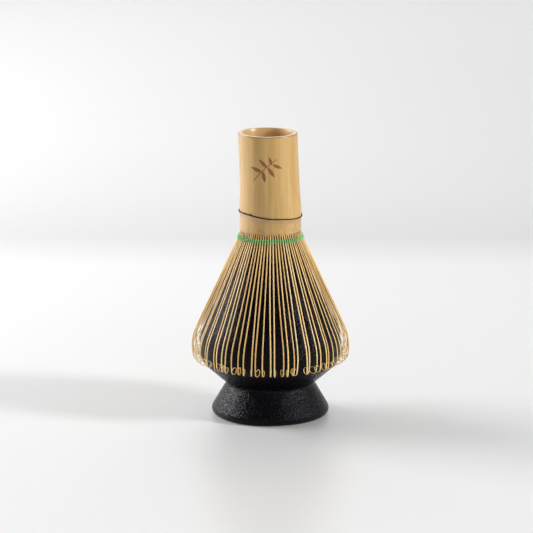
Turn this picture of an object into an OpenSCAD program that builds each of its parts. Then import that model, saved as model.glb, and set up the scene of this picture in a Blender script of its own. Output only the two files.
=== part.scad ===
// Bamboo tea whisk resting on its stoneware holder.
// Origin at the centre of the holder's foot on the table, +Z up, millimetres.

/* [Holder] */
// Height of the holder, from the table to the top of its mouth
holder_h = 73.6; // [68:0.1:75]
// Largest radius of the foot
foot_r = 25.9; // [24:0.1:30]
// Smallest radius of the neck above the foot
neck_r = 19.7; // [18:0.1:21]
// Height of the neck
neck_z = 14.2; // [12:0.1:16]
// Largest radius of the belly
belly_r = 31.2; // [29:0.1:31.2]
// Wall thickness of the fired clay
clay_wall = 3.2; // [2.5:0.1:4]
// Radius of the throat that takes the inner tines
throat_r = 7.3; // [7:0.1:8]

/* [Handle] */
// Height of the cut end of the handle above the table
whisk_top = 126.2; // [118:0.1:135]
// Outer radius of the bamboo at the cut end
culm_r = 12.95; // [12:0.05:13.4]
// Radius of the hollow in the handle, above the bamboo's node
bore_r = 10.8; // [10.6:0.1:11.5]
// Height of the bamboo's node
node_z = 90.4; // [88:0.1:94]
// Outer radius of the bamboo at the node
node_r = 13.6; // [13.4:0.05:14]

/* [Tines] */
// Outer tines cut from each of the sixteen first splits, and as many inner ones
tines_per_split = 5; // [3:1:5]
// Width of an outer tine
outer_w = 0.8; // [0.5:0.05:0.85]
// Width of an inner tine
inner_w = 0.4; // [0.3:0.05:0.45]
// Height of the thread that spreads the tines
thread_z = 80.1; // [79:0.1:81]
// Diameter of the thread
thread_d = 0.8; // [0.6:0.02:0.9]
// Lowest point of the outer tines
tip_z = 24.3; // [24:0.1:26]
// Outward lean of the outer tines, from straight down
cage_lean = 24.8; // [24:0.1:25]

/* [Hidden] */
$fn = 96;

SPLIT_IDS = ["01", "02", "03", "04", "05", "06", "07", "08",
             "09", "10", "11", "12", "13", "14", "15", "16"];

// Holder profile.
foot_round = 2.5;        // rounding of the foot's outer edge
flank_lean = 30;         // inward lean of the foot's flank
neck_fillet = 1.2;
under_lean = 49;         // outward lean of the belly's underside
belly_low_round = 7.3;
belly_band = 3;          // height of the upright band at the belly
belly_high_round = 24;
shoulder_lean = 26.5;    // inward lean of the shoulder
rim_round = 2;
throat_z = 66;           // top of the straight throat
throat_h = 1.5;
ceiling_z = 64;          // where the shoulder's inner wall ends
scraped = 3.2;           // wall of the foot at the table

// Bamboo.
collar_r = 13.4;
collar_bore_r = 10.4;    // below the node
collar_bottom = thread_z + 2.8;
flare_top = node_z + 14; // where the handle has narrowed to its own radius
scar_h = 0.9;
scar_t = 0.3;
rim_chamfer = 0.25;
ridge_drop = 3;          // from the node down to where its ridge starts
diaphragm_t = 2.5;
diaphragm_z = node_z - 3.3;
diaphragm_top = diaphragm_z + diaphragm_t;
diaphragm_r = (bore_r + collar_bore_r) / 2;

// Tines.
splits = len(SPLIT_IDS); // first splits around the bamboo, each with its own two nodes
tine_count = splits * tines_per_split;
tine_pitch = 360 / tine_count;
front = -90;             // azimuth that the first split faces
root_gap = 0.15;         // between the collar and the tines' upper ends
root_r = 13.2;
root_lean = 8;
root_bend = 11.4;
root_steps = 3;
belly_bend = 20.6;       // bend of a tine round the belly
tuck = 8;                // inward lean below the belly
tuck_run = 1;
curl_r = 1.45;           // first turn of the curled tip
curl_rise = 1.2;
curl_end_r = 1;
curl_end_turn = 70;
outer_t_root = 0.54;
outer_t_tip = 0.2;
inner_root_r = 11.4;
inner_end_r = 6.1;
inner_gather = 1.3;      // how much closer every second inner tine stands
inner_lean = 19.5;
inner_extra_lean = 3.5;  // of every second inner tine
inner_bend = 14;
inner_end_z = 35;
inner_t_root = 0.4;
inner_t_tip = 0.2;

// Thread.
thread_gap = 0.1;        // play of the tines inside the thread
round_step = 0.9;        // height between the two rounds
knot_gap = 0.05;
knot_r = 0.75;
tail_l = 2.2;
tail_splay = 25;

bamboo = "burlywood";
bamboo_pale = "navajowhite";
clay = "#1c1a1d";
green = "mediumseagreen";
scar = "#4a2c20";

// A trail is a list of [r, z, lean]. Each leg is [0, length] for a straight run, or
// [radius, turn, steps] for an arc. dir is 1 for a trail that climbs and -1 for one that falls.
function leg(at, s, dir) = s[0] == 0
    ? [[at[0] + s[1] * sin(at[2]), at[1] + dir * s[1] * cos(at[2]), at[2]]]
    : [for (k = [1:s[2]])
        let (a = at[2] + s[1] * k / s[2], q = sign(s[1]) * s[0])
        [at[0] + q * (cos(at[2]) - cos(a)), at[1] + dir * q * (sin(a) - sin(at[2])), a]];
function trail(at, legs, dir, i = 0) = i == len(legs) ? [] :
    let (step = leg(at, legs[i], dir))
    concat(step, trail(step[len(step) - 1], legs, dir, i + 1));
function shifted(p, d, dir) = [p[0] + d * cos(p[2]), p[1] - dir * d * sin(p[2])];
function flat(points) = [for (p = points) [p[0], p[1]]];
function reversed(points) = [for (i = [len(points) - 1:-1:0]) points[i]];
function run(c, i) = i == 0 ? 0
    : run(c, i - 1) + norm([c[i][0] - c[i - 1][0], c[i][1] - c[i - 1][1]]);

// Outline of a strip along a falling trail, tapering from thickness t0 to t1.
function strip(c, t0, t1) =
    let (total = run(c, len(c) - 1),
         half = [for (i = [0:len(c) - 1]) (t0 + (t1 - t0) * run(c, i) / total) / 2])
    concat([for (i = [0:len(c) - 1]) shifted(c[i], half[i], -1)],
           reversed([for (i = [0:len(c) - 1]) shifted(c[i], -half[i], -1)]));

// Holder wall, from the neck's waist up to the rim.
flank_end_r = neck_r + neck_fillet * (1 - cos(flank_lean));
foot_arc_end_r = foot_r - foot_round * (1 - cos(flank_lean));
foot_arc_end_z = foot_round * (1 + sin(flank_lean));
flank_end_z = neck_z - neck_fillet * sin(flank_lean);
under_end_r = belly_r - belly_low_round * (1 - cos(under_lean));
under_start_r = neck_r + neck_fillet * (1 - cos(under_lean));
under_l = (under_end_r - under_start_r) / sin(under_lean);
belly_top_z = neck_z + neck_fillet * sin(under_lean) + under_l * cos(under_lean)
    + belly_low_round * sin(under_lean) + belly_band;
shoulder_z = belly_top_z + belly_high_round * sin(shoulder_lean);
rim_z = holder_h - rim_round * (1 - sin(shoulder_lean));
shoulder_l = (rim_z - shoulder_z) / cos(shoulder_lean);
ceiling_l = (ceiling_z - shoulder_z) / cos(shoulder_lean);
foot_edge = trail([foot_r - foot_round, 0, 90], [[foot_round, -90 - flank_lean, 10]], 1);
waist = [neck_r, neck_z, 0];
body_legs = [[neck_fillet, under_lean, 5], [0, under_l], [belly_low_round, -under_lean, 8],
             [0, belly_band], [belly_high_round, -shoulder_lean, 8]];
wall_up = concat([waist], trail(waist, body_legs, 1));
rim_up = trail(wall_up[len(wall_up) - 1],
               [[0, shoulder_l], [rim_round, shoulder_lean - 180, 12]], 1);
wall_in = concat(wall_up, trail(wall_up[len(wall_up) - 1], [[0, ceiling_l]], 1));
neck_r_in = neck_r - clay_wall;

module holder_profile() {
    polygon(concat(
        [[foot_r - foot_round - scraped, 0], [foot_r - foot_round, 0]],
        flat(foot_edge),
        flat(trail([flank_end_r, flank_end_z, -flank_lean], [[neck_fillet, flank_lean, 3]], 1)),
        flat([for (i = [1:len(wall_up) - 1]) wall_up[i]]),
        flat(rim_up),
        [[throat_r, throat_z], [throat_r, throat_z - throat_h]],
        reversed([for (p = wall_in) shifted(p, -clay_wall, 1)])));
}

module holder() {
    color(clay) rotate_extrude() holder_profile();
}

// Outer radius of the handle between the node and the flare's top.
function flare(t) = node_r + (culm_r - node_r) * t * t * (3 - 2 * t);

module culm_handle() {
    scar_top = node_z + scar_h / 2;
    scar_bottom = node_z - scar_h / 2;
    color(bamboo) rotate_extrude() polygon(concat(
        [[bore_r, diaphragm_top], [diaphragm_r, diaphragm_top], [diaphragm_r, diaphragm_z],
         [collar_bore_r, diaphragm_z], [collar_bore_r, collar_bottom], [collar_r, collar_bottom],
         [collar_r, node_z - ridge_drop], [node_r, scar_bottom]],
        [for (i = [0:8]) [flare(i / 8), scar_top + (flare_top - scar_top) * i / 8]],
        [[culm_r, whisk_top - rim_chamfer], [culm_r - rim_chamfer, whisk_top],
         [bore_r, whisk_top]]));
}

module node_diaphragm() {
    color(bamboo_pale)
        translate([0, 0, diaphragm_z])
            cylinder(r = diaphragm_r, h = diaphragm_t);
}

// The thin ring where the leaf sheath grew, which stands on the node's edge.
module sheath_scar() {
    color(scar) rotate_extrude()
        translate([node_r, node_z - scar_h / 2])
            polygon([[0, 0], [scar_t, scar_h * 0.3], [scar_t, scar_h * 0.7], [0, scar_h]]);
}

// Outer tine: over the thread, straight down the cage, round the belly and into its curl.
root_z = collar_bottom - root_gap;
root_arc_z = root_bend * (sin(cage_lean) - sin(root_lean));
belly_arc_z = belly_bend * (sin(cage_lean) + sin(tuck));
curl_drop = curl_r * (1 - sin(tuck)) + outer_t_tip / 2;
cage_run = (root_z - root_arc_z - belly_arc_z - tuck_run * cos(tuck) - curl_drop - tip_z)
    / cos(cage_lean);
outer_start = [root_r, root_z, root_lean];
outer_line = concat([outer_start], trail(outer_start, [
    [root_bend, cage_lean - root_lean, root_steps],
    [0, cage_run],
    [belly_bend, -cage_lean - tuck, 6],
    [0, tuck_run],
    [curl_r, tuck - 180, 8],
    [0, curl_rise],
    [curl_end_r, -curl_end_turn, 3]], -1));

// Inner tine: inward through the holder's mouth, then down the throat. Every second one
// gathers closer to the axis.
function inner_line(gathered) =
    let (lean = inner_lean + gathered * inner_extra_lean,
         start = [inner_root_r, root_z, -lean],
         arc_r = inner_bend * (1 - cos(lean)),
         cone_run = (inner_root_r - inner_end_r + gathered * inner_gather - arc_r) / sin(lean),
         drop = root_z - cone_run * cos(lean) - inner_bend * sin(lean) - inner_end_z)
    concat([start], trail(start,
        [[0, cone_run], [inner_bend, lean, 3], [0, drop]], -1));

module tine(outline, w, azimuth) {
    rotate([0, 0, azimuth]) rotate([90, 0, 0])
        linear_extrude(height = w, center = true) polygon(outline);
}

module outer_tines(k) {
    outline = strip(outer_line, outer_t_root, outer_t_tip);
    color(bamboo)
        for (j = [0:tines_per_split - 1])
            tine(outline, outer_w,
                 front + (k * tines_per_split + j - (tines_per_split - 1) / 2) * tine_pitch);
}

module inner_tines(k) {
    color(bamboo_pale)
        for (j = [0:tines_per_split - 1]) {
            i = k * tines_per_split + j;
            tine(strip(inner_line(i % 2), inner_t_root, inner_t_tip), inner_w,
                 front + (i + 1 - tines_per_split / 2) * tine_pitch);
        }
}

// Radius at which a round of thread at the height z lies against the tines' outer faces. The
// tines run straight from where their bend over the thread ends.
spread = outer_line[root_steps];
function round_r(z) =
    spread[0] + (spread[1] - z) * tan(cage_lean)
    + (outer_t_root / 2 + thread_gap + thread_d / 2) / cos(cage_lean);
low_round_z = thread_z - round_step / 2;
high_round_z = thread_z + round_step / 2;

module thread_round(z) {
    color(green) rotate_extrude()
        translate([round_r(z), z]) circle(d = thread_d, $fn = 24);
}

module thread_knot() {
    color(green) rotate([0, 0, -front])
        translate([round_r(low_round_z) + thread_d / 2 + knot_gap + knot_r, 0, thread_z])
            for (side = [-1, 1]) translate([0, side * knot_r * 0.6, 0]) {
                sphere(r = knot_r, $fn = 32);
                rotate([side * tail_splay, 180, 0])
                    cylinder(d = thread_d * 0.7, h = tail_l, $fn = 24);
            }
}

holder();
culm_handle();
node_diaphragm();
sheath_scar();
thread_round(high_round_z);  // thread_upper_round
thread_round(low_round_z);  // thread_lower_round
thread_knot();
for (k = [0:splits - 1]) {
    outer_tines(k);
    inner_tines(k);
}
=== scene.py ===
"""A bamboo tea whisk seated over its stoneware holder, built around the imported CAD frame.

Lengths in this script are millimetres until a piece becomes a mesh, and azimuths are degrees
from +X. The front, which the camera sees, is at azimuth -90.
"""
import math
import random

import bpy
import numpy as np
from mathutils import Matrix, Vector, noise


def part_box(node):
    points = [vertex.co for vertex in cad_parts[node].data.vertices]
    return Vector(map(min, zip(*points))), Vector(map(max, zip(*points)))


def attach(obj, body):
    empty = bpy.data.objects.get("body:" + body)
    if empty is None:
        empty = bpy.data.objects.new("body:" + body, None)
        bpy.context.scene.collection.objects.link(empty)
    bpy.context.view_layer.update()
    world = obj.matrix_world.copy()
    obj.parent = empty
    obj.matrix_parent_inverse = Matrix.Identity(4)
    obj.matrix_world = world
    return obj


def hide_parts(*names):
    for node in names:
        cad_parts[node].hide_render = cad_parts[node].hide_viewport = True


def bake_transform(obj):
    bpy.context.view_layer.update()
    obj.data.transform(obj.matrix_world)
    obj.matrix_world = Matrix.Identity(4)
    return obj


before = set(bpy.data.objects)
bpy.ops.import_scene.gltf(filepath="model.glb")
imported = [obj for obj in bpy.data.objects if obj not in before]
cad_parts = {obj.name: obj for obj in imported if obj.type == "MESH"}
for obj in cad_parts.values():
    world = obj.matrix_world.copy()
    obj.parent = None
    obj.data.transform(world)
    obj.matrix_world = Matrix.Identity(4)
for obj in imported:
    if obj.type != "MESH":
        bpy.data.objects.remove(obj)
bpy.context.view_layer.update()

MM = 0.001
SPLITS = 16
TINES_PER_SPLIT = 5
TINES = SPLITS * TINES_PER_SPLIT
TINE_PITCH = 360 / TINES
FRONT = -90


# ---------------------------------------------------------------- the frame's own sizes

def low_high(node):
    """A CAD node's lowest and highest corners, in millimetres."""
    low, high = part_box(node)
    return low / MM, high / MM


_, HOLDER_HIGH = low_high("holder")
_, HANDLE_HIGH = low_high("culm_handle")
DIAPHRAGM_LOW, DIAPHRAGM_HIGH = low_high("node_diaphragm")
SCAR_LOW, SCAR_HIGH = low_high("sheath_scar")
UPPER_LOW, UPPER_HIGH = low_high("thread_upper_round")
LOWER_LOW, LOWER_HIGH = low_high("thread_lower_round")
TINES_LOW, _ = low_high("outer_tines_01")
INNER_LOW, _ = low_high("inner_tines_01")

NODE_Z = (SCAR_LOW.z + SCAR_HIGH.z) / 2
SCAR_PROUD = 0.3
NODE_R = SCAR_HIGH.x - SCAR_PROUD
UPPER_Z = (UPPER_LOW.z + UPPER_HIGH.z) / 2
LOWER_Z = (LOWER_LOW.z + LOWER_HIGH.z) / 2
THREAD_Z = (UPPER_Z + LOWER_Z) / 2


# ---------------------------------------------------------------- meshes

class Skin:
    """The points, faces and per-point values of one piece."""

    def __init__(self, *value_names):
        self.points = []
        self.faces = []
        self.values = {name: [] for name in value_names}

    def grid(self, rows, wrap_rows=False, **values):
        """Adds quads over closed rings of points. Each value is one number, or one per point."""
        first = len(self.points)
        height, width = len(rows), len(rows[0])
        for row in rows:
            self.points.extend(row)
        for name, store in self.values.items():
            given = values.get(name, 0.0)
            store.extend(given if hasattr(given, "__len__") else [given] * (height * width))
        for i in range(height if wrap_rows else height - 1):
            low = first + i * width
            high = first + (i + 1) % height * width
            for j in range(width):
                k = (j + 1) % width
                self.faces.append((low + j, low + k, high + k, high + j))
        return first, height, width

    def cap(self, first, width, flip=False):
        """Closes one end of a grid with a single face."""
        ring = list(range(first, first + width))
        self.faces.append(tuple(ring if flip else ring[::-1]))

    def piece(self, name, material, slot):
        """A Blender object of this skin, in metres, with its values on its points."""
        mesh = bpy.data.meshes.new(name)
        mesh.from_pydata([(x * MM, y * MM, z * MM) for x, y, z in self.points], [], self.faces)
        for value_name, store in self.values.items():
            attribute = mesh.attributes.new(value_name, "FLOAT", "POINT")
            attribute.data.foreach_set("value", np.array(store, np.float32))
        mesh.polygons.foreach_set("use_smooth", [True] * len(mesh.polygons))
        mesh.validate()
        mesh.update()
        obj = bpy.data.objects.new(name, mesh)
        bpy.context.scene.collection.objects.link(obj)
        obj.data.materials.append(material)
        return obj


def smooth(t):
    """0 below 0 and 1 above 1, with an even rise between."""
    t = min(max(t, 0.0), 1.0)
    return t * t * (3 - 2 * t)


def polar(radius, azimuth, z):
    """A point at a radius, an azimuth and a height."""
    a = math.radians(azimuth)
    return (radius * math.cos(a), radius * math.sin(a), z)


def arc_trail(start, legs, climb):
    """Points (r, z) from start (r, z, lean), along straight legs (length,) and arcs
    (radius, turn, steps). climb is 1 for a trail that rises and -1 for one that falls."""
    r, z, lean = start
    points = [(r, z)]
    for leg in legs:
        if len(leg) == 1:
            r += leg[0] * math.sin(math.radians(lean))
            z += climb * leg[0] * math.cos(math.radians(lean))
            points.append((r, z))
            continue
        radius, turn, steps = leg
        reach = math.copysign(radius, turn)
        a0 = math.radians(lean)
        r0, z0 = r, z
        for k in range(1, steps + 1):
            a = math.radians(lean + turn * k / steps)
            r = r0 + reach * (math.cos(a0) - math.cos(a))
            z = z0 + climb * reach * (math.sin(a) - math.sin(a0))
            points.append((r, z))
        lean += turn
    return points, lean


def resample(points, spacing):
    """The same outline with no step longer than spacing."""
    out = [points[0]]
    for (r0, z0), (r1, z1) in zip(points, points[1:]):
        steps = max(1, math.ceil(math.hypot(r1 - r0, z1 - z0) / spacing))
        for k in range(1, steps + 1):
            out.append((r0 + (r1 - r0) * k / steps, z0 + (z1 - z0) * k / steps))
    return out


class Turtle:
    """Walks a strip's centreline in the tine's own plane: x outward, y sideways, z up."""

    def __init__(self, r, z, lean):
        a = math.radians(lean)
        self.at = Vector((r, 0, z))
        self.ahead = Vector((math.sin(a), 0, -math.cos(a)))
        self.out = Vector((math.cos(a), 0, math.sin(a)))
        self.trail = [(self.at.copy(), self.ahead.copy(), self.out.copy())]

    @staticmethod
    def turned(a, b, degrees):
        """a and b after a has turned towards b."""
        c, s = math.cos(math.radians(degrees)), math.sin(math.radians(degrees))
        return a * c + b * s, b * c - a * s

    def go(self, length, steps, bend=0.0, sway=0.0, twist=0.0):
        """Walks a length, with its turns outward, sideways and about itself spread evenly."""
        for _ in range(steps):
            side = self.ahead.cross(self.out)
            self.ahead, self.out = self.turned(self.ahead, self.out, bend / steps)
            self.ahead, side = self.turned(self.ahead, side, sway / steps)
            self.out, side = self.turned(self.out, side, twist / steps)
            self.at = self.at + self.ahead * (length / steps)
            self.trail.append((self.at.copy(), self.ahead.copy(), self.out.copy()))


# A strip's half thickness up to which it grows evenly, and how its long edges are rounded.
FULL_HALF = 0.26
EDGE_WIDE, EDGE_DEEP = 0.1, 0.45


def strip_rings(trail, width, thickness, azimuth):
    """Rings of a rounded flat strip along a turtle's trail, and how far along each one is.
    Any further thickness goes on its inner side."""
    run = [0.0]
    for (a, _, _), (b, _, _) in zip(trail, trail[1:]):
        run.append(run[-1] + (b - a).length)
    c, s = math.cos(math.radians(azimuth)), math.sin(math.radians(azimuth))
    rings = []
    for (at, ahead, out), length in zip(trail, run):
        u = length / run[-1]
        w, t = width(u) / 2, thickness(u) / 2
        inset = max(t - FULL_HALF, 0)
        side = ahead.cross(out)
        corner_w, corner_t = min(EDGE_WIDE, w * 0.35), t * EDGE_DEEP
        section = [(w, t - corner_t), (w - corner_w, t), (-w + corner_w, t), (-w, t - corner_t),
                   (-w, -t + corner_t), (-w + corner_w, -t), (w - corner_w, -t), (w, -t + corner_t)]
        ring = []
        for across, up in section:
            p = at + side * across + out * (up - inset)
            ring.append((p.x * c - p.y * s, p.x * s + p.y * c, p.z))
        rings.append(ring)
    return rings, [length / run[-1] for length in run]


def tube_rings(points, radius, sides):
    """Rings of a round tube along points, with radius(u) from 0 to 1 along it."""
    path = [Vector(p) for p in points]
    rings = []
    out = None
    for i, p in enumerate(path):
        ahead = (path[min(i + 1, len(path) - 1)] - path[max(i - 1, 0)]).normalized()
        if out is None:
            out = ahead.orthogonal().normalized()
        out = (out - ahead * out.dot(ahead)).normalized()
        side = ahead.cross(out)
        size = radius(i / (len(path) - 1))
        rings.append([tuple(p + (out * math.cos(a) + side * math.sin(a)) * size)
                      for a in (2 * math.pi * k / sides for k in range(sides))])
    return rings


# ---------------------------------------------------------------- materials

def srgb(red, green, blue):
    """A linear colour from display values of 0 to 255."""
    def linear(v):
        v /= 255
        return v / 12.92 if v <= 0.04045 else ((v + 0.055) / 1.055) ** 2.4
    return (linear(red), linear(green), linear(blue), 1.0)


class Finish:
    """A material, its nodes made one call at a time."""

    def __init__(self, name, **sockets):
        self.material = bpy.data.materials.new(name)
        self.material.use_nodes = True
        self.tree = self.material.node_tree
        self.shader = self.tree.nodes["Principled BSDF"]
        self.coords = self.add("ShaderNodeTexCoord").outputs["Object"]
        for socket, value in sockets.items():
            self.shader.inputs[socket.replace("_", " ")].default_value = value

    def add(self, kind, **settings):
        node = self.tree.nodes.new(kind)
        for name, value in settings.items():
            setattr(node, name, value)
        return node

    def plug(self, socket, value):
        if isinstance(value, bpy.types.NodeSocket):
            self.tree.links.new(value, socket)
        else:
            socket.default_value = value

    def value(self, name):
        """A per-point value of the mesh."""
        return self.add("ShaderNodeAttribute", attribute_name=name).outputs["Fac"]

    def stretched(self, x, y, z):
        """The object's coordinates, scaled."""
        node = self.add("ShaderNodeMapping", vector_type="TEXTURE")
        self.plug(node.inputs["Vector"], self.coords)
        node.inputs["Scale"].default_value = (x, y, z)
        return node.outputs["Vector"]

    def noise(self, scale, detail, roughness, vector=None):
        node = self.add("ShaderNodeTexNoise")
        self.plug(node.inputs["Vector"], vector or self.coords)
        node.inputs["Scale"].default_value = scale
        node.inputs["Detail"].default_value = detail
        node.inputs["Roughness"].default_value = roughness
        return node.outputs["Fac"]

    def cells(self, scale):
        node = self.add("ShaderNodeTexVoronoi")
        self.plug(node.inputs["Vector"], self.coords)
        node.inputs["Scale"].default_value = scale
        return node.outputs["Distance"]

    def ramp(self, value, *stops):
        """Colours or plain numbers at places along 0 to 1."""
        node = self.add("ShaderNodeValToRGB")
        self.plug(node.inputs["Fac"], value)
        elements = node.color_ramp.elements
        while len(elements) < len(stops):
            elements.new(0.5)
        for element, (place, colour) in zip(elements, stops):
            element.position = place
            element.color = colour if hasattr(colour, "__len__") else (colour,) * 3 + (1,)
        return node.outputs["Color"]

    def mix(self, factor, a, b, blend="MIX"):
        node = self.add("ShaderNodeMix", data_type="RGBA", blend_type=blend)
        self.plug(node.inputs[0], factor)
        self.plug(node.inputs[6], a)
        self.plug(node.inputs[7], b)
        return node.outputs[2]

    def product(self, a, b):
        node = self.add("ShaderNodeMath", operation="MULTIPLY")
        self.plug(node.inputs[0], a)
        self.plug(node.inputs[1], b)
        return node.outputs[0]

    def span(self, value, low, high):
        """0 where the value is low and 1 where it is high."""
        node = self.add("ShaderNodeMapRange")
        self.plug(node.inputs["Value"], value)
        node.inputs["From Min"].default_value = low
        node.inputs["From Max"].default_value = high
        return node.outputs["Result"]

    def bump(self, height, distance, strength, under=None):
        node = self.add("ShaderNodeBump")
        node.inputs["Distance"].default_value = distance
        node.inputs["Strength"].default_value = strength
        self.plug(node.inputs["Height"], height)
        if under:
            self.plug(node.inputs["Normal"], under)
        return node.outputs["Normal"]

    def done(self, colour, roughness, normal=None):
        """The finished material."""
        self.plug(self.shader.inputs["Base Color"], colour)
        self.plug(self.shader.inputs["Roughness"], roughness)
        if normal:
            self.plug(self.shader.inputs["Normal"], normal)
        return self.material


def bamboo_skin():
    """The handle: waxy skin with upright fibres, its cut rim, its node and the burnt mark."""
    f = Finish("bamboo_skin", Coat_Weight=0.5, Coat_Roughness=0.22, Specular_IOR_Level=0.6)
    fibres = f.noise(1500, 4, 0.6, f.stretched(1, 1, 45))
    streaks = f.noise(330, 3, 0.5, f.stretched(1, 1, 30))
    clouds = f.noise(70, 3, 0.5)
    skin = f.ramp(streaks, (0.3, srgb(193, 150, 80)), (0.5, srgb(202, 161, 89)),
                  (0.72, srgb(212, 174, 103)))
    skin = f.mix(f.ramp(fibres, (0.35, 0.22), (0.6, 0.0)), skin, srgb(164, 116, 56))
    skin = f.mix(f.ramp(clouds, (0.42, 0.0), (0.7, 0.3)), skin, srgb(188, 152, 98))
    inside = f.mix(f.ramp(streaks, (0.35, 0.0), (0.7, 1.0)), srgb(206, 164, 108),
                   srgb(220, 183, 129))
    cut = f.mix(f.ramp(f.noise(2600, 2, 0.6), (0.4, 0.0), (0.65, 1.0)), srgb(242, 214, 170),
                srgb(216, 180, 130))
    mottle = f.ramp(f.noise(420, 4, 0.65), (0.45, 0.0), (0.62, 0.35))
    skin = f.mix(f.product(mottle, f.value("collar")), skin, srgb(162, 122, 54))
    colour = f.mix(f.value("inside"), skin, inside)
    colour = f.mix(f.value("cut"), colour, cut)
    colour = f.mix(f.value("rim_line"), colour, srgb(128, 88, 52))
    colour = f.mix(f.value("grey_band_under_node"), colour, srgb(164, 136, 102))
    colour = f.mix(f.value("node_line"), colour, srgb(92, 60, 38))
    burnt = f.mix(f.noise(1900, 2, 0.5), srgb(120, 64, 0), srgb(148, 84, 0))
    colour = f.mix(f.value("burn"), colour, burnt)
    # Painted shade in the slits between the tines and on the ring behind them.
    colour = f.mix(f.value("slit"), colour, srgb(66, 34, 14))
    rough = f.ramp(fibres, (0.3, 0.52), (0.7, 0.38))
    normal = f.bump(fibres, 0.00005, 0.5)
    normal = f.bump(clouds, 0.0002, 0.3, normal)
    return f.done(colour, rough, normal)


def bamboo_pith():
    """The pale, blotched flesh of the node's wall."""
    f = Finish("bamboo_pith", Specular_IOR_Level=0.3)
    blotches = f.noise(260, 4, 0.6)
    colour = f.ramp(blotches, (0.3, srgb(180, 140, 92)), (0.6, srgb(216, 182, 134)),
                    (0.8, srgb(230, 204, 164)))
    normal = f.bump(f.noise(900, 4, 0.6), 0.0002, 0.7)
    return f.done(colour, 0.8, normal)


def bamboo_scar():
    """The dark, corky edge where the sheath was."""
    f = Finish("bamboo_scar", Specular_IOR_Level=0.3)
    grain = f.noise(900, 4, 0.65)
    colour = f.ramp(grain, (0.3, srgb(38, 22, 16)), (0.6, srgb(74, 46, 32)),
                    (0.8, srgb(118, 84, 60)))
    normal = f.bump(f.noise(2500, 3, 0.6), 0.0001, 0.8)
    return f.done(colour, 0.75, normal)


def bamboo_tine(name, root, middle, tip, dark, pale, flesh, pith_and_shade):
    """A shaved splint, darker on its cut sides and much darker inside, partly its flesh's own
    colour and partly painted shade between the strands. Each has its own tone.
    """
    f = Finish(name, Specular_IOR_Level=0.5, Coat_Weight=0.3, Coat_Roughness=0.3)
    fibres = f.noise(2600, 3, 0.6, f.stretched(1, 1, 26))
    colour = f.ramp(f.value("along"), (0.04, root), (0.1, middle), (0.8, middle), (1.0, tip))
    colour = f.mix(f.ramp(fibres, (0.3, 0.35), (0.6, 0.0)), colour, dark)
    tone = f.value("tone")
    colour = f.mix(f.ramp(tone, (0.0, 0.5), (0.5, 0.0)), colour, dark)
    colour = f.mix(f.ramp(tone, (0.6, 0.0), (1.0, 0.4)), colour, pale)
    # Cut sides take the flesh colour and the inner face the very dark pith colour: partly the
    # flesh's own colour, partly painted shade between the strands. Near the root the sides take the
    # pith colour too, as painted shade where the strands crowd.
    cut = f.value("cut")
    body = f.ramp(f.value("along"), (0.5, 1.0), (0.78, 0.2))
    sides = f.product(f.ramp(cut, (0.1, 0.0), (0.4, 0.9)), body)
    inside = f.product(f.ramp(cut, (0.65, 0.0), (0.95, 0.95)), body)
    flesh = f.ramp(f.value("along"), (0.05, pith_and_shade), (0.3, flesh))
    colour = f.mix(inside, f.mix(sides, colour, flesh), pith_and_shade)
    rough = f.ramp(fibres, (0.3, 0.6), (0.7, 0.45))
    return f.done(colour, rough, f.bump(fibres, 0.00004, 0.6))


def green_thread():
    """Matt green yarn, with painted shade where it sinks between two tines."""
    f = Finish("green_thread", Sheen_Weight=0.35, Sheen_Roughness=0.4, Specular_IOR_Level=0.3)
    f.shader.inputs["Sheen Tint"].default_value = srgb(206, 240, 196)
    hairs = f.noise(7000, 3, 0.6)
    colour = f.ramp(hairs, (0.3, srgb(122, 196, 116)), (0.5, srgb(150, 220, 138)),
                    (0.75, srgb(186, 240, 168)))
    # Painted shade where the yarn sinks between two tines.
    colour = f.mix(f.ramp(f.value("sunk"), (0.1, 0.0), (0.6, 0.92)), colour, srgb(54, 82, 36))
    return f.done(colour, 0.78, f.bump(hairs, 0.00008, 0.8))


def stoneware():
    """Black satin glaze with fine grains that glint, and bare clay under the foot."""
    f = Finish("stoneware_glaze", Specular_IOR_Level=0.12)
    f.shader.inputs["Specular Tint"].default_value = (0.87, 0.84, 0.97, 1.0)
    grains = f.noise(1750, 1, 0.5)
    pits = f.cells(1300)
    patches = f.noise(120, 3, 0.55)
    glaze = f.ramp(patches, (0.3, srgb(4, 3, 5)), (0.6, srgb(6, 5, 7)), (0.8, srgb(9, 7, 9)))
    glaze = f.mix(f.ramp(grains, (0.55, 0.0), (0.8, 0.3)), glaze, srgb(24, 20, 25))
    clay = f.ramp(f.noise(700, 4, 0.6), (0.3, srgb(96, 84, 74)), (0.7, srgb(134, 118, 102)))
    colour = f.mix(f.value("bare"), glaze, clay)
    rough = f.mix(f.value("bare"), f.ramp(grains, (0.35, 0.2), (0.7, 0.36)), (0.9, 0.9, 0.9, 1))
    normal = f.bump(grains, 0.0004, 0.8)
    normal = f.bump(pits, 0.0002, 0.5, normal)
    return f.done(colour, rough, normal)


SKIN = bamboo_skin()
PITH = bamboo_pith()
SCAR = bamboo_scar()
# The last colour, the dark pith of the inner face, is partly painted shade between the strands.
TINE = bamboo_tine("bamboo_tine", srgb(222, 172, 100), srgb(255, 214, 132), srgb(253, 222, 146),
                   srgb(222, 162, 84), srgb(255, 240, 194), srgb(204, 142, 64), srgb(84, 42, 12))
# The inner tines' colours are far darker than the outer ones: partly the darker inner bamboo,
# partly painted shade, as they stand in the whisk's shadow.
INNER_TINE = bamboo_tine("bamboo_tine_inner", srgb(62, 28, 8), srgb(120, 56, 10),
                         srgb(160, 100, 46), srgb(78, 34, 8), srgb(150, 84, 30),
                         srgb(80, 36, 8), srgb(60, 28, 8))
THREAD = green_thread()
GLAZE = stoneware()


# ---------------------------------------------------------------- holder

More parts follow.
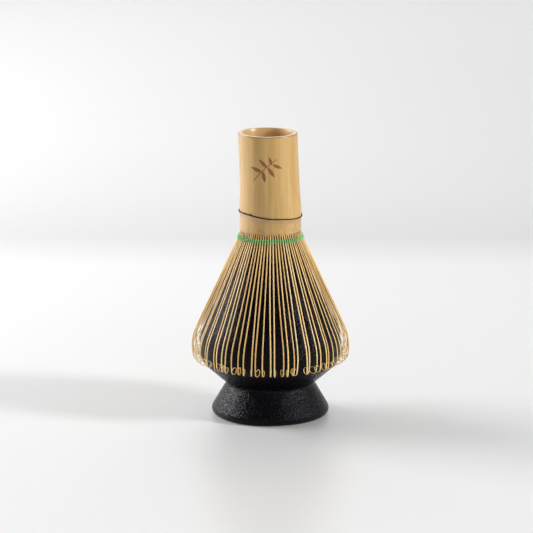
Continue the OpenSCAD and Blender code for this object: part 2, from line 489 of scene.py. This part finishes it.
def holder():
    """The holder as one closed turned shape, a little uneven as fired clay is. Its outline runs
    from the foot up to the mouth, down the throat, and back down inside the wall."""
    foot_r, foot_round = 25.9, 2.5
    flank = 30  # inward lean of the foot's side
    neck_r, neck_z, neck_fillet = 19.7, 14.2, 1.2
    under, low_round, band = 49, 7.3, 3.0  # outward lean below the belly, and its upright band
    high_round, shoulder = 24, 26.5  # rounding above the belly, and the shoulder's inward lean
    rim_round = 2.0
    wall = 3.2
    throat_r, throat_z, throat_low, ceiling_z = 7.3, 66.0, 64.5, 64.0
    top = HOLDER_HIGH.z
    belly_r = HOLDER_HIGH.x

    foot, _ = arc_trail((foot_r - foot_round, 0, 90), [(foot_round, -90 - flank, 14)], 1)
    end_r = neck_r + neck_fillet * (1 - math.cos(math.radians(flank)))
    end_z = neck_z - neck_fillet * math.sin(math.radians(flank))
    waist, _ = arc_trail((end_r, end_z, -flank), [(neck_fillet, flank, 4)], 1)
    reach = (belly_r - low_round * (1 - math.cos(math.radians(under)))
             - neck_r - neck_fillet * (1 - math.cos(math.radians(under))))
    body, lean = arc_trail(
        (neck_r, neck_z, 0),
        [(neck_fillet, under, 6), (reach / math.sin(math.radians(under)),),
         (low_round, -under, 12), (band,), (high_round, -shoulder, 12)], 1)
    rise = top - rim_round * (1 - math.sin(math.radians(shoulder))) - body[-1][1]
    rim, _ = arc_trail((*body[-1], lean), [(rise / math.cos(math.radians(shoulder)),),
                                           (rim_round, lean - 180, 16)], 1)
    inner = []
    for (r0, z0), (r1, z1) in zip(body, body[1:]):
        length = math.hypot(r1 - r0, z1 - z0)
        inner.append(((r0 + r1) / 2 - wall * (z1 - z0) / length,
                      (z0 + z1) / 2 + wall * (r1 - r0) / length))
    inner.append((rim[1][0] - wall / math.cos(math.radians(shoulder))
                  + (rim[1][1] - ceiling_z) * math.tan(math.radians(shoulder)), ceiling_z))
    inner.insert(0, (neck_r - wall, neck_z))
    outline = (foot + waist + body[1:] + rim[1:] + [(throat_r, throat_z), (throat_r, throat_low)]
               + inner[::-1] + [(foot_r - foot_round - wall, 0)])
    outline = resample(outline, 0.9)

    bare_edge, bare_z = 1.2, 0.7
    skin = Skin("bare")
    around = 320
    rows, bare = [], []
    for r, z in outline:
        row = []
        for j in range(around):
            azimuth = 360 * j / around
            x, y, _ = polar(r, azimuth, z)
            swell = noise.noise(Vector((x, y, z)) * 0.06) * 0.16
            swell += noise.noise(Vector((x, y, z)) * 0.35) * 0.05
            grow = 1 + swell / max(r, 1) * smooth(z / 3) * smooth((top - z) / 8)
            row.append((x * grow, y * grow, z))
            bare.append(smooth((bare_z - z) / 0.3) if r < foot_r - bare_edge else 0.0)
        rows.append(row)
    skin.grid(rows, wrap_rows=True, bare=bare)
    piece = skin.piece("holder_glazed", GLAZE, "glazed_stoneware")
    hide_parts("holder")
    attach(piece, "holder")


# ---------------------------------------------------------------- handle

# The culm's outer radius above and below its node, and its hollow's above and below the wall.
CULM_R = 12.95
COLLAR_R = 13.4
BORE_R = 10.8
COLLAR_BORE_R = 10.55
SLIT_BASE = THREAD_Z + 1.55
# The culm's sideways lean: its full reach, the height it starts at and the height it takes.
LEAN_X, LEAN_Z, LEAN_RISE = -1.705, 86, 60


def node_line(azimuth):
    """Height of the dark line at the bamboo's node, which runs a little askew."""
    a = math.radians(azimuth)
    return NODE_Z - 1.0 * math.cos(a) + 0.25 * math.sin(2 * a + 0.6) + 0.12 * math.sin(5 * a + 1.0)


def lean_at(z):
    """How far the culm leans sideways at a height."""
    return LEAN_X * smooth((z - LEAN_Z) / LEAN_RISE)


def culm_radius(above):
    """Outer radius of the culm at a height above its node line."""
    if above < 0:
        lip = 0.36 * math.exp(-((above + 0.45) / 0.75) ** 2)
        return COLLAR_R + lip + 0.12 * smooth(1 + above / 3.5)
    swelling = (NODE_R - CULM_R) * (1 - smooth((above - 0.5) / 14.5))
    groove = 0.14 * math.exp(-(above / 0.3) ** 2)
    return CULM_R + swelling - groove


def leaf(x, z, stem_x, stem_z, tip_x, tip_z, half_width):
    """How far a point is inside a pointed leaf, in millimetres."""
    length = math.hypot(tip_x - stem_x, tip_z - stem_z)
    ux, uz = (tip_x - stem_x) / length, (tip_z - stem_z) / length
    along = ((x - stem_x) * ux + (z - stem_z) * uz) / length
    aside = abs(-(x - stem_x) * uz + (z - stem_z) * ux)
    if not 0 < along < 1:
        return -1.0
    return half_width * 2.6 * along ** 0.8 * (1 - along) - aside


MARK_X, MARK_Z, MARK_REACH = -1.3, 111.2, 7.6
# Each leaf of the sprig: foot across and up, tip across and up, half width.
SPRIG = [(-1.9, -0.3, -6.6, 1.6, 1.1), (-1.5, 0.0, -0.6, -5.0, 1.1), (0.5, 1.5, -2.9, 5.4, 1.0),
         (0.8, 1.7, 3.6, -2.7, 1.1), (2.6, 2.8, 1.5, 6.4, 0.9), (3.0, 3.0, 7.0, 1.1, 0.95)]
STEM_FOOT, STEM_TIP, STEM_BOW = (-5.6, -4.4), (5.0, 5.2), 0.9


def burnt(x, z):
    """Depth of the burn of a plain leafy sprig: 1 inside it and 0 outside."""
    x, z = x - MARK_X, z - MARK_Z
    depth = max(leaf(x, z, *shape) for shape in SPRIG)
    (x0, z0), (x1, z1) = STEM_FOOT, STEM_TIP
    along = (x - x0) / (x1 - x0)
    if 0 < along < 1:
        stem_z = z0 + (z1 - z0) * along + STEM_BOW * 4 * along * (1 - along)
        depth = max(depth, 0.24 - 0.1 * along - abs(z - stem_z) * 0.75)
    return smooth(depth / 0.22 + 0.5)


def bamboo_handle():
    """The culm as one closed skin: up its outside, over the rim, down the bore, past the node
    wall, and around a solid ring behind the slits that part the tines."""
    rng = random.Random(11)
    around = 640
    slit_tops = [rng.uniform(0.7, 1.7) + (rng.random() < 0.3) * rng.uniform(0.3, 0.9)
                 for _ in range(TINES)]
    slit_shape = {-2: 0.3, -1: 0.85, 0: 1.0, 1: 0.85, 2: 0.3}
    zone_top = SLIT_BASE + 2.9
    mark_low, mark_high = MARK_Z - MARK_REACH, MARK_Z + MARK_REACH
    top = HANDLE_HIGH.z

    # Heights from the node line, closest where its lip and groove are.
    below = [-4.2, -3.4, -2.7, -2.1, -1.6, -1.2, -0.9, -0.65, -0.45, -0.3, -0.18, -0.08]
    above = [0.0, 0.08, 0.18, 0.3, 0.45, 0.7, 1.1, 1.7, 2.5, 3.5, 5.0, 6.6, 8.4]
    levels = [("slit", k / 6) for k in range(6)]
    levels += [("node", d) for d in below + above]
    z = NODE_Z + 10.2
    while z < top - 0.7:
        levels.append(("high", z))
        z += 0.24 if mark_low < z < mark_high else 1.1
    rim = [(top - 0.55, 0.0), (top - 0.28, 0.04), (top - 0.1, 0.12), (top - 0.02, 0.26),
           (top, 0.42)]
    levels += [("rim", pair) for pair in rim]

    # The height of the slit's top in each column that belongs to a slit.
    slit_of = {}
    for k in range(TINES):
        middle = round((FRONT + (k + 0.5) * TINE_PITCH) / 360 * around)
        for step, share in slit_shape.items():
            slit_of[(middle + step) % around] = SLIT_BASE + slit_tops[k] * share

    def organic(azimuth, z):
        """Out of round, and the faint flats and fibres along a real culm."""
        a = math.radians(azimuth)
        shape = 0.07 * math.cos(2 * a + 0.8) + 0.03 * math.cos(3 * a)
        x, y, _ = polar(1, azimuth, 0)
        return shape + 0.035 * noise.noise(Vector((x * 9, y * 9, z * 0.02)))

    def column_z(kind, amount, j, azimuth):
        """Height of a level at one column: the levels follow the slits, the node and the rim."""
        line = node_line(azimuth)
        start = slit_of.get(j, SLIT_BASE)
        if kind == "slit":
            return start + (zone_top - start) * amount
        if kind == "node":
            low = line + below[0]
            if amount == below[0]:
                return zone_top + (low - zone_top) * 0.5
            return line + amount
        if kind == "high":
            drift = line - NODE_Z
            return amount + drift * (1 - smooth((amount - NODE_Z - 10) / 8))
        return amount[0]

    values = ("cut", "inside", "rim_line", "grey_band_under_node", "node_line", "burn", "slit", "collar")
    store = {name: [] for name in values}
    rows = []

    def add_row(place):
        """place(j, azimuth) gives a point and its values."""
        row = []
        for j in range(around):
            azimuth = 360 * j / around
            point, marks = place(j, azimuth)
            row.append(point)
            for name in values:
                store[name].append(marks.get(name, 0.0))
        rows.append(row)

    def outer(kind, amount):
        """A level of the culm's outside."""
        def place(j, azimuth):
            z = column_z(kind, amount, j, azimuth)
            above_line = z - node_line(azimuth)
            r = culm_radius(above_line) + organic(azimuth, z)
            if kind == "rim":
                r -= amount[1]
            x, y, _ = polar(r, azimuth, z)
            marks = {}
            if y < 0 and mark_low < z < mark_high:
                depth = burnt(x, z)
                marks["burn"] = depth
                x, y, _ = polar(r - 0.05 * depth, azimuth, z)
            marks["node_line"] = 0.85 * math.exp(-(above_line / 0.16) ** 2)
            marks["collar"] = smooth(-above_line - 0.3)
            if above_line < 0:
                # A greyer, patchy band just under the node line.
                patch = 0.5 + 0.5 * noise.noise(Vector((x * 0.4, y * 0.4, z * 0.5)))
                marks["grey_band_under_node"] = (0.25 + 0.6 * patch) * math.exp(-((above_line + 1.0) / 1.3) ** 2)
            if kind == "rim" and amount[1] > 0.2:
                marks["cut"] = 1.0
            marks["rim_line"] = 0.75 if kind == "rim" and 0.03 < amount[1] < 0.3 else 0.0
            # The feet of the slits are painted dark as shade.
            if kind == "slit" and j in slit_of:
                marks["slit"] = 1.0 if amount < 0.1 else 0.6 if amount < 0.2 else 0.0
            return (x + lean_at(z), y, z), marks
        return place

    def wall(r, z, cut, edge=0.0):
        """A ring of the rim's cut face or of the bore."""
        def place(_, azimuth):
            x, y, _ = polar(r + organic(azimuth, z) * 0.6, azimuth, z)
            return (x + lean_at(z), y, z), {"cut": cut, "inside": 1.0 - cut, "rim_line": edge}
        return place

    def shaded_slit_back(r, low=None):
        """A ring of the back of the slits, painted dark as shade, at their feet unless a height is
        given.
        """
        def place(j, azimuth):
            z = slit_of.get(j, SLIT_BASE) if low is None else low
            x, y, _ = polar(r + organic(azimuth, z) * 0.6, azimuth, z)
            return (x + lean_at(z), y, z), {"slit": 1.0}
        return place

    for kind, amount in levels:
        add_row(outer(kind, amount))
    add_row(wall(12.1, top, 1.0))
    add_row(wall(11.6, top + 0.01, 1.0))
    add_row(wall(11.15, top - 0.01, 1.0, edge=0.25))
    add_row(wall(10.92, top - 0.1, 0.5, edge=0.5))
    add_row(wall(BORE_R, top - 0.3, 0.0))
    depth = top - DIAPHRAGM_HIGH.z
    for k in range(1, 25):
        add_row(wall(BORE_R, top - 0.3 - (depth - 0.3) * k / 24, 0.0))
    add_row(wall(COLLAR_BORE_R, DIAPHRAGM_HIGH.z, 0.0))
    add_row(wall(COLLAR_BORE_R, DIAPHRAGM_LOW.z, 0.0))
    back_in, back_out, back_low = 10.5, 12.0, SLIT_BASE - 1.6
    add_row(wall(back_in, zone_top, 0.0))
    # The back of the slits is painted dark as shade.
    add_row(shaded_slit_back(back_in, low=back_low))
    add_row(shaded_slit_back(back_out, low=back_low))
    add_row(shaded_slit_back(back_out))
    skin = Skin(*values)
    skin.grid(rows, wrap_rows=True, **store)
    piece = skin.piece("bamboo_handle", SKIN, "bamboo_skin")
    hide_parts("culm_handle")
    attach(piece, "whisk")


def diaphragm():
    """The node's wall: a rough, slightly dished disc."""
    around, rings = 96, 14
    low, high = DIAPHRAGM_LOW.z, DIAPHRAGM_HIGH.z
    edge = 10.6
    rows = []
    radii = [edge * k / rings for k in range(1, rings + 1)]
    profile = [(r, high - 0.1 - 0.6 * (1 - (r / edge) ** 2)) for r in radii]
    profile += [(r, low + 0.1 + 0.4 * (1 - (r / edge) ** 2)) for r in reversed(radii)]
    for r, z in profile:
        row = []
        for j in range(around):
            x, y, _ = polar(r, 360 * j / around, z)
            rough = noise.noise(Vector((x * 0.5, y * 0.5, z))) * 0.12
            row.append((x + lean_at(z), y, z + rough * (1 - (r / edge) ** 4)))
        rows.append(row)
    skin = Skin()
    first, height, width = skin.grid(rows)
    skin.cap(first, width, flip=True)
    skin.cap(first + (height - 1) * width, width)
    skin.faces = [face[::-1] for face in skin.faces]
    piece = skin.piece("bamboo_node_wall", PITH, "bamboo_pith")
    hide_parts("node_diaphragm")
    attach(piece, "whisk")


def sheath_scar():
    """The torn edge left by the leaf sheath: a thin dark lip of uneven height."""
    rng = random.Random(5)
    around = 360
    rows = [[] for _ in range(6)]
    # Each burr: azimuth, height, width in degrees.
    burr_at = [(-129, 0.55, 1.4), (-57, 0.18, 1.0), (35, 0.3, 1.2), (118, 0.35, 1.5),
               (160, 0.2, 1.0)]
    for j in range(around):
        azimuth = 360 * j / around - 180
        line = node_line(azimuth)
        x, y, _ = polar(1, azimuth, 0)
        ragged = noise.noise(Vector((x * 14, y * 14, 3))) * 0.5 + noise.noise(
            Vector((x * 45, y * 45, 7))) * 0.35
        burr = sum(size * math.exp(-((azimuth - at) / wide) ** 2) for at, size, wide in burr_at)
        high = 0.17 + 0.09 * ragged + burr
        low = 0.2 + 0.07 * ragged
        proud = 0.2 + 0.06 * ragged + burr * 0.25 + rng.uniform(-0.01, 0.01)
        base = culm_radius(-0.2)
        ring = [(base - 0.35, -low), (base + proud * 0.55, -low), (base + proud, -low * 0.35),
                (base + proud * 0.92, high * 0.4), (base + proud * 0.45, high), (base - 0.45, high)]
        for row, (r, dz) in zip(rows, ring):
            px, py, pz = polar(r, azimuth, line + dz)
            row.append((px + lean_at(pz), py, pz))
    skin = Skin()
    skin.grid(rows, wrap_rows=True)
    piece = skin.piece("bamboo_sheath_scar", SCAR, "bamboo_scar")
    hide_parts("sheath_scar")
    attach(piece, "whisk")


# ---------------------------------------------------------------- tines

# An outer tine leaves the collar at ROOT_R, ROOT_Z with ROOT_LEAN, bends out over an arc of
# radius ROOT_BEND, runs straight, bends in over BELLY_BEND until it leans in by TUCK, and curls.
ROOT_LEAN = 8.0
CAGE_LEAN = 24.8
ROOT_BEND = 11.4
BELLY_BEND = 20.6
TUCK = 8.0
TUCK_RUN = 1.0
CURL_R = 1.5
CAGE_TWIST = 1.0
ROOT_R = 13.12
ROOT_Z = THREAD_Z + 2.65


def arc_length(radius, turn):
    return radius * math.radians(abs(turn))


def cage_run():
    """Length of a tine's straight run, so that its curl's lowest point meets the CAD's."""
    fall = ROOT_BEND * (math.sin(math.radians(CAGE_LEAN)) - math.sin(math.radians(ROOT_LEAN)))
    fall += BELLY_BEND * (math.sin(math.radians(CAGE_LEAN)) + math.sin(math.radians(TUCK)))
    fall += TUCK_RUN * math.cos(math.radians(TUCK)) + CURL_R * (1 - math.sin(math.radians(TUCK)))
    return (ROOT_Z - fall - TINES_LOW.z - 0.1) / math.cos(math.radians(CAGE_LEAN))


CAGE_RUN = cage_run()


def outer_tine(skin, rng, azimuth, number):
    """One curled tine. Those at the two sides wander less, pair up, and end a little higher."""
    sidelong = abs(math.cos(math.radians(azimuth)))
    widest_drift = 1.9
    drift = max(-widest_drift, min(widest_drift, rng.gauss(0, 1.05)))
    drift *= 1 - 0.7 * sidelong ** 2
    spread = rng.gauss(0, 0.18) * (1 - 0.6 * sidelong ** 2)
    paired = smooth((sidelong - 0.2) / 0.4) * (1 - 0.2 * smooth((sidelong - 0.75) / 0.15))
    paired *= rng.uniform(0.1, 1.1) * (-1, 1)[number % 2]
    curl_r = rng.uniform(1.35, 1.7)
    curl_turn = rng.uniform(255, 335)
    face = rng.gauss(0, 16)
    sideways = rng.choice((-1, 1)) * rng.uniform(6, 17)
    size = rng.uniform(0.92, 1.1)

    walk = Turtle(ROOT_R, ROOT_Z, ROOT_LEAN)
    run = CAGE_RUN - 0.7 * sidelong ** 3
    walk.go(arc_length(ROOT_BEND, CAGE_LEAN - ROOT_LEAN), 7, bend=CAGE_LEAN - ROOT_LEAN,
            sway=CAGE_TWIST + paired)
    walk.go(run * 0.35, 5, sway=drift * 0.25, bend=spread * 0.9)
    walk.go(run * 0.35, 5, sway=drift * 0.7, bend=-spread * 0.4)
    walk.go(run * 0.30, 5, sway=drift * 0.3, bend=-spread * 0.5)
    walk.go(arc_length(BELLY_BEND, CAGE_LEAN + TUCK), 14, bend=-CAGE_LEAN - TUCK,
            sway=-drift * 1.1, twist=face * 0.35)
    tuck = TUCK_RUN - 0.8 * sidelong ** 3
    walk.go(tuck + (CURL_R - curl_r) * 0.9 + rng.uniform(-0.15, 0.15), 3, twist=face * 0.65)
    walk.go(arc_length(curl_r, curl_turn * 0.6), 15, bend=-curl_turn * 0.6, sway=sideways * 0.7)
    walk.go(arc_length(curl_r * 0.86, curl_turn * 0.4), 11, bend=-curl_turn * 0.4,
            sway=sideways * 0.3)

    def width(u):
        return size * (0.58 - 0.05 * smooth((u - 0.15) / 0.3) - 0.13 * smooth((u - 0.84) / 0.16))

    def thickness(u):
        return 0.95 - 0.57 * smooth(u / 0.35) - 0.16 * smooth((u - 0.5) / 0.4)

    add_strip(skin, walk.trail, width, thickness, azimuth, rng.random())


def inner_tine(skin, rng, azimuth, gathered):
    """One thin tine that leans in to the throat. Every other one is gathered further in."""
    lean = 19.5 + 3.5 * gathered + rng.gauss(0, 0.25)
    bend = 14
    end_r = 6.1 - 1.3 * gathered
    start_r, start_z = 11.62, ROOT_Z + 0.45
    arc_r = bend * (1 - math.cos(math.radians(lean)))
    run = (start_r - end_r - arc_r) / math.sin(math.radians(lean))
    drop = (start_z - run * math.cos(math.radians(lean)) - bend * math.sin(math.radians(lean))
            - INNER_LOW.z)
    sway = rng.gauss(0, 0.5)
    hook, hook_run = rng.uniform(12, 34), 4.5
    walk = Turtle(start_r, start_z, -lean)
    walk.go(run, 5, sway=sway)
    walk.go(arc_length(bend, lean), 5, bend=lean, sway=-sway * 0.6)
    walk.go(drop - hook_run, 5, bend=rng.gauss(0, 0.35), sway=-sway * 0.4)
    walk.go(hook_run + rng.uniform(-0.6, 0.3), 6, bend=-hook, twist=rng.gauss(0, 8))

    def width(u):
        return 0.42 - 0.08 * u

    def thickness(u):
        return 0.4 - 0.22 * u

    add_strip(skin, walk.trail, width, thickness, azimuth, rng.random())


# How much of each point around a strip is cut flesh: 0 on its skin side and 1 inside.
CUT_AROUND = [0.4, 0, 0, 0.4, 0.88, 1, 1, 0.88]


def add_strip(skin, trail, width, thickness, azimuth, tone):
    """Adds a closed strip to a skin."""
    rings, run = strip_rings(trail, width, thickness, azimuth)
    along = [u for u in run for _ in rings[0]]
    first, height, around = skin.grid(rings, along=along, tone=tone,
                                      cut=CUT_AROUND * len(rings))
    skin.cap(first, around)
    skin.cap(first + (height - 1) * around, around, flip=True)


def tines():
    """The sixteen splits, each with its outer tines and its inner tines."""
    rng = random.Random(64)
    for k in range(SPLITS):
        outer, inner = Skin("along", "tone", "cut"), Skin("along", "tone", "cut")
        for j in range(TINES_PER_SPLIT):
            i = k * TINES_PER_SPLIT + j
            azimuth = FRONT + (i - (TINES_PER_SPLIT - 1) / 2) * TINE_PITCH
            outer_tine(outer, rng, azimuth + rng.gauss(0, 0.12), i)
            inner_tine(inner, rng, azimuth + TINE_PITCH / 2 + rng.gauss(0, 0.2), i % 2)
        name = f"{k + 1:02d}"
        piece = outer.piece("bamboo_outer_tines_" + name, TINE, "bamboo_tine")
        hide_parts("outer_tines_" + name)
        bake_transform(piece)
        piece = inner.piece("bamboo_inner_tines_" + name, INNER_TINE, "bamboo_tine_inner")
        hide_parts("inner_tines_" + name)
        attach(piece, "whisk")


# ---------------------------------------------------------------- thread

YARN_R = 0.52
PLY_R = 0.32
PLY_OFFSET = 0.2
PLY_TURNS = 58


def tine_face(z):
    """Radius of the tines' outer faces at a height close to the thread."""
    arc_start = ROOT_Z + ROOT_BEND * math.sin(math.radians(ROOT_LEAN))
    lean = math.asin(min((arc_start - z) / ROOT_BEND, math.sin(math.radians(CAGE_LEAN))))
    r = ROOT_R + ROOT_BEND * (math.cos(math.radians(ROOT_LEAN)) - math.cos(lean))
    straight = arc_start - ROOT_BEND * math.sin(math.radians(CAGE_LEAN)) - z
    return r + max(straight, 0) * math.tan(math.radians(CAGE_LEAN)) + 0.25


def thread_round(name, z, phase):
    """Two twisted plies that bulge over each tine and sink into each gap."""
    rng = random.Random(41 + phase)
    steps = TINES * 14
    face = tine_face(z) + YARN_R - 0.5
    bulge = [rng.uniform(-0.05, 0.05) for _ in range(TINES)]
    lift = [rng.uniform(-0.07, 0.07) for _ in range(TINES)]
    skin = Skin("sunk")
    for ply in range(2):
        rings, sunk = [], []
        for i in range(steps):
            azimuth = 360 * i / steps
            over = math.cos(math.radians((azimuth - FRONT) * TINES))
            # gap is 1 between two tines: the yarn dips there and gets painted shade.
            gap = (0.5 - 0.5 * over) ** 2.2
            at = (azimuth - FRONT) / TINE_PITCH
            near = round(at) % TINES
            twist = math.radians(azimuth * PLY_TURNS + 180 * ply + 20 * math.sin(near * 1.7))
            mid_r = face + bulge[near] * over - 0.42 * gap
            mid_z = z + lift[near] * (0.5 + 0.5 * over) + 0.05 * math.sin(math.radians(azimuth * 7))
            out = PLY_OFFSET * math.cos(twist)
            up = PLY_OFFSET * math.sin(twist)
            ring = []
            for side in range(8):
                a = 2 * math.pi * side / 8
                r = mid_r + out + PLY_R * math.cos(a)
                ring.append(polar(r, azimuth, mid_z + up + PLY_R * math.sin(a)))
                sunk.append(gap)
            rings.append(ring)
        skin.grid(rings, wrap_rows=True, sunk=sunk)
    piece = skin.piece("thread_wrap_" + name, THREAD, "green_thread")
    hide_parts(f"thread_{name}_round")
    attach(piece, "whisk")


def thread_knot():
    """A small overhand knot with two frayed ends, where the yarn is tied at the back."""
    centre = Vector((0, LOWER_HIGH.x + 0.42, THREAD_Z))
    skin = Skin("sunk")
    yarn_r, loop = 0.27, []
    for i in range(96):
        t = 2 * math.pi * i / 96
        loop.append(centre + Vector((math.sin(t) + 2 * math.sin(2 * t), -math.sin(3 * t) * 1.1,
                                     math.cos(t) - 2 * math.cos(2 * t))) * 0.27)
    rings = tube_rings(loop + [loop[0]], lambda u: yarn_r, 10)[:-1]
    skin.grid(rings, wrap_rows=True)
    for side in (-1, 1):
        for strand in range(3):
            splay = (strand - 1) * 0.16
            tail = []
            for i in range(12):
                u = i / 11
                tail.append(centre + Vector((side * (0.3 + 0.75 * u) + splay * u * u * 1.4,
                                             0.1 + 0.32 * math.sin(2.2 * u) + splay * u * 0.5,
                                             -0.25 - 2.3 * u + 0.3 * u * u)))
            rings = tube_rings(tail, lambda u: 0.17 - 0.05 * u, 7)
            first, height, width = skin.grid(rings)
            skin.cap(first, width)
            skin.cap(first + (height - 1) * width, width, flip=True)
    piece = skin.piece("thread_tied_knot", THREAD, "green_thread")
    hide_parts("thread_knot")
    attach(piece, "whisk")


# ---------------------------------------------------------------- stage

def pale_floor():
    """White table whose colour carries painted light: darker towards the front, brighter far back
    and a little brighter on the left; a soft greyer band lies behind the whisk.
    """
    f = Finish("pale_floor", Specular_IOR_Level=0.35)
    place = f.add("ShaderNodeSeparateXYZ")
    f.plug(place.inputs["Vector"], f.coords)
    # Painted light: darker at the front and brighter far back, with a greyer band behind the whisk.
    back = f.span(place.outputs["Y"], -0.3, 1.3)
    tone = f.ramp(back, (0.19, 0.8), (0.33, 0.86), (0.375, 0.87), (0.42, 0.73), (0.5, 0.81),
                  (0.6, 0.87), (0.9, 0.99))
    # Painted light: the right side a little darker.
    right = f.ramp(f.span(place.outputs["X"], -0.15, 0.15), (0.0, 1.0), (1.0, 0.94))
    return f.done(f.mix(1.0, tone, right, "MULTIPLY"), 0.3)


def stage():
    """A pale table, large enough for any view."""
    half = 6.0
    mesh = bpy.data.meshes.new("floor")
    corners = [(-half, -half, 0), (half, -half, 0), (half, half, 0), (-half, half, 0)]
    mesh.from_pydata(corners, [], [(0, 1, 2, 3)])
    floor = bpy.data.objects.new("floor", mesh)
    floor.data.materials.append(pale_floor())
    bpy.context.scene.collection.objects.link(floor)


def area_light(name, place, target, size, size_y, power):
    """A white rectangular light at a place, turned to its target. Metres and watts."""
    data = bpy.data.lights.new(name, "AREA")
    data.shape = "RECTANGLE"
    data.size, data.size_y = size, size_y
    data.energy = power
    light = bpy.data.objects.new(name, data)
    light.location = place
    light.rotation_euler = (Vector(target) - Vector(place)).to_track_quat("-Z", "Y").to_euler()
    bpy.context.scene.collection.objects.link(light)


def room():
    """A dim room with a bright backdrop behind the table. The camera sees it pale all round."""
    dim, backdrop, seen = 0.05, 0.6, 0.85
    world = bpy.data.worlds.new("room")
    world.use_nodes = True
    tree = world.node_tree

    def add(kind, source, socket):
        node = tree.nodes.new(kind)
        if source:
            tree.links.new(source, node.inputs[socket])
        return node

    direction = add("ShaderNodeTexCoord", None, None).outputs["Generated"]
    way = add("ShaderNodeSeparateXYZ", direction, 0)
    back = add("ShaderNodeMapRange", way.outputs["Y"], 0)
    back.interpolation_type = "SMOOTHSTEP"
    back.inputs["From Min"].default_value, back.inputs["From Max"].default_value = 0.1, 0.9
    back.inputs["To Min"].default_value, back.inputs["To Max"].default_value = dim, backdrop
    level = add("ShaderNodeMix", back.outputs[0], 2)
    level.inputs[3].default_value = seen
    tree.links.new(add("ShaderNodeLightPath", None, None).outputs["Is Camera Ray"], level.inputs[0])
    shade = tree.nodes["Background"]
    shade.inputs["Color"].default_value = (1, 1, 1, 1)
    tree.links.new(level.outputs[0], shade.inputs["Strength"])
    bpy.context.scene.world = world
    bpy.context.scene.view_settings.view_transform = "Standard"


def lights():
    """A low key at the right, a window at the back left, weak cards and two softboxes above."""
    area_light("key", (1.3, -0.42, 0.58), (0, 0, 0.06), 0.3, 0.3, 17.5)
    area_light("window", (-1.15, 0.49, 0.56), (0, 0, 0.05), 0.9, 0.35, 21)
    area_light("side_card", (-0.9, -0.25, 0.35), (0, 0, 0.06), 0.8, 0.6, 0.8)
    area_light("front_card", (0, -1.4, 0.5), (0, 0, 0.07), 1.8, 0.9, 4.2)
    area_light("overhead", (0, 0.7, 1.7), (0, 0.1, 0), 2.4, 1.6, 1.0)
    area_light("far_table", (0, 2.3, 1.5), (0, 1.7, 0), 2.6, 1.2, 24)


def camera():
    """A long lens 1.5 m in front of the holder and 0.4 m above the table."""
    data = bpy.data.cameras.new("camera")
    data.sensor_width = 36
    data.lens = 236
    data.clip_start, data.clip_end = 0.05, 20
    cam = bpy.data.objects.new("camera", data)
    cam.location = (0, -1.5, 0.4)
    aim = Vector((-0.00176, 0, 0.0662))
    cam.rotation_euler = (aim - cam.location).to_track_quat("-Z", "Y").to_euler()
    bpy.context.scene.collection.objects.link(cam)
    bpy.context.scene.camera = cam


camera()
room()
lights()
stage()
holder()
bamboo_handle()
diaphragm()
sheath_scar()
tines()
thread_round("upper", UPPER_Z, 0)
thread_round("lower", LOWER_Z, 1)
thread_knot()
